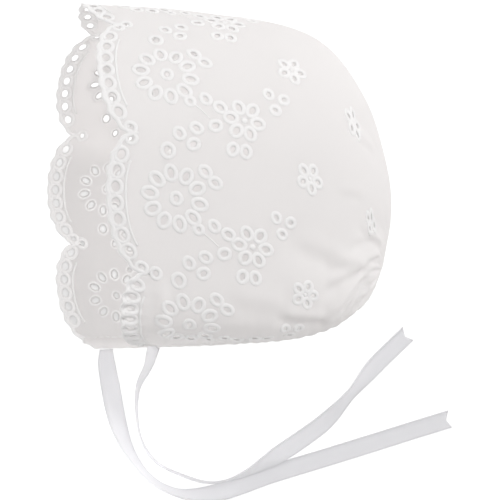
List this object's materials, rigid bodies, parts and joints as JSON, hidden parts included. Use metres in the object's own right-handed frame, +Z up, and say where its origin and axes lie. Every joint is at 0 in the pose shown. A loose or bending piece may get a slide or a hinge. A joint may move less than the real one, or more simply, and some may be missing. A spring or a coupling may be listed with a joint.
{
  "type": "baby bonnet",
  "caption": "Baby bonnet of white eyelet cotton with a scalloped face edge, a back gathered to the nape, a narrow neck hem and flat ribbon ties, lying on its side.",
  "frame": {"origin": "middle of the base of the bonnet's box, without the ties, on the surface that the bonnet lies on", "axes": "+X from the face opening to the back of the head, +Y from the neck edge to the crown, +Z up"},
  "size_m": [0.2007, 0.2228, 0.0979],
  "materials": {
    "cotton": "matte eyelet cotton",
    "hem": "matte cotton hem",
    "ribbon": "soft woven ribbon"
  },
  "bodies": {
    "root": {"crown": "cotton", "neck_casing": "hem", "tie_far": "ribbon", "tie_near": "ribbon"}
  },
  "joints": []
}
